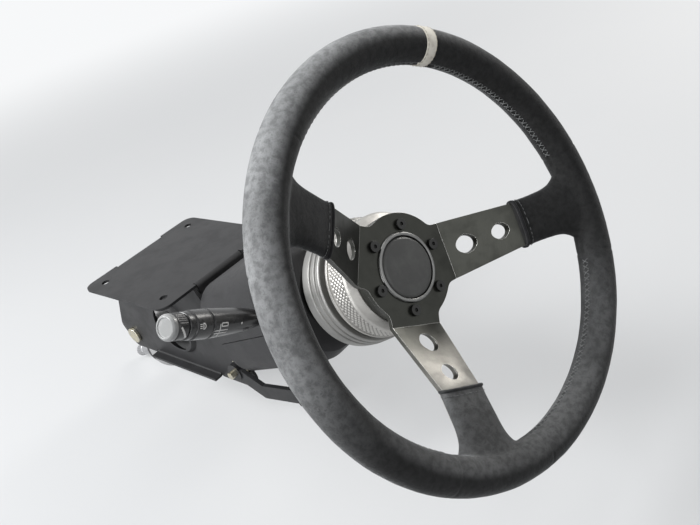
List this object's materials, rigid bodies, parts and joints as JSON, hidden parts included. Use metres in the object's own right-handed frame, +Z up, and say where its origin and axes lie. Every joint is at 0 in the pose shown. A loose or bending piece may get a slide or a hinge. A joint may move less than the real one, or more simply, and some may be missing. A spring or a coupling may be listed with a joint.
{
  "type": "steering wheel and column",
  "caption": "Dished sports steering wheel with a suede rim on a stepped boss, carried by a tilting column with covers, a stalk and a bolted bracket",
  "frame": {"origin": "centre of the bolted face of the column's bracket", "axes": "+X is the car's right, +Y is forward along the car, +Z is up; the driver sits on the -Y side"},
  "size_m": [0.35, 0.6707, 0.4103],
  "materials": {
    "suede": "worn suede, napped, stitched on its inner side",
    "marker_leather": "cream leather, matte",
    "frame_metal": "black anodised, satin",
    "screw_steel": "dark steel, satin",
    "trim_metal": "satin, turned",
    "horn_plastic": "satin moulded",
    "collar_metal": "knurled, satin",
    "drum_metal": "turned, satin",
    "shaft_steel": "ground",
    "black_paint": "satin black coat",
    "bearing_steel": "ground",
    "cast_metal": "die-cast, matte",
    "zinc_steel": "zinc plated",
    "grip_rubber": "matte, moulded",
    "cover_plastic": "fine grained, moulded",
    "switch_plastic": "moulded",
    "stalk_plastic": "satin moulded",
    "knob_plastic": "satin moulded",
    "lock_metal": "satin",
    "bracket_paint": "black coat, satin"
  },
  "bodies": {
    "bracket": {"bracket_top": "bracket_paint", "bracket_side_left": "bracket_paint", "bracket_side_right": "bracket_paint", "pivot_pin": "zinc_steel", "bracket_spacer": "zinc_steel"},
    "column": {"column_tube": "black_paint", "upper_bearing": "bearing_steel", "lower_bearing": "bearing_steel", "clamp_block": "cast_metal", "pivot_block": "cast_metal", "clamp_bolt": "zinc_steel", "tilt_lever": "black_paint", "lever_grip": "grip_rubber", "cover_upper": "cover_plastic", "cover_lower": "cover_plastic", "switch_housing": "switch_plastic", "stalk_left": "stalk_plastic", "stalk_knob": "knob_plastic", "stalk_gaiter": "grip_rubber", "cover_screws": "screw_steel", "lock_housing": "cast_metal", "ignition_lock": "lock_metal"},
    "wheel": {"rim_grip": "suede", "rim_marker": "marker_leather", "spoke_frame": "frame_metal", "hub_screws": "screw_steel", "horn_ring": "trim_metal", "horn_button": "horn_plastic", "release_hub": "frame_metal", "release_collar": "collar_metal", "boss": "drum_metal", "steering_shaft": "shaft_steel"}
  },
  "joints": [
    {"name": "column_tilt", "type": "hinge", "parent": "bracket", "child": "column", "pos_m": [0, 0.10157, -0.09981], "axis": [1, 0, 0], "range_deg": [-3, 3]},
    {"name": "steering", "type": "hinge", "parent": "column", "child": "wheel", "pos_m": [0, -0.39405, 0.06161], "axis": [0, -0.9272, 0.3746], "range_deg": [-420, 480]}
  ]
}
